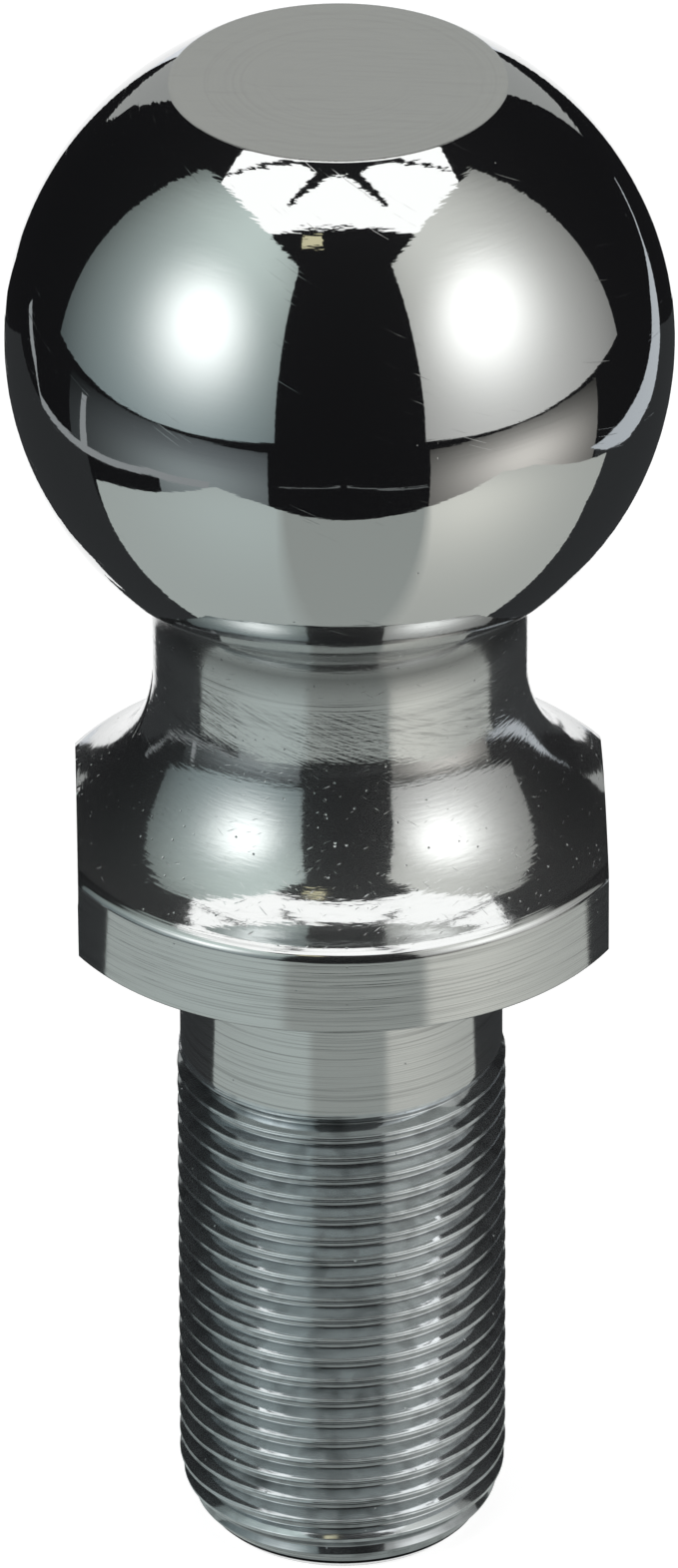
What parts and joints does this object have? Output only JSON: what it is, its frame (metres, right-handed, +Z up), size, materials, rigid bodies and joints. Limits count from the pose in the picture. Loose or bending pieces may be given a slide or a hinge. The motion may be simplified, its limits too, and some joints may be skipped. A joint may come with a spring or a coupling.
{
  "type": "threaded tow ball",
  "caption": "Chromed tow ball with a flat top, waisted neck, clamping flange with spanner flats, and a threaded shank.",
  "frame": {"origin": "centre of the shank's end face, on the axis, where the ball stands", "axes": "+Z up the axis from the shank's end to the flat on top of the ball; the two spanner flats face +X and -X"},
  "size_m": [0.0508, 0.0508, 0.1249],
  "materials": {
    "chromed_steel": "polished chrome on the ball and flare, finely turned on the neck, rim, collar and thread, faced matt on the top flat"
  },
  "bodies": {
    "root": {"tow_ball": "chromed_steel"}
  },
  "joints": []
}
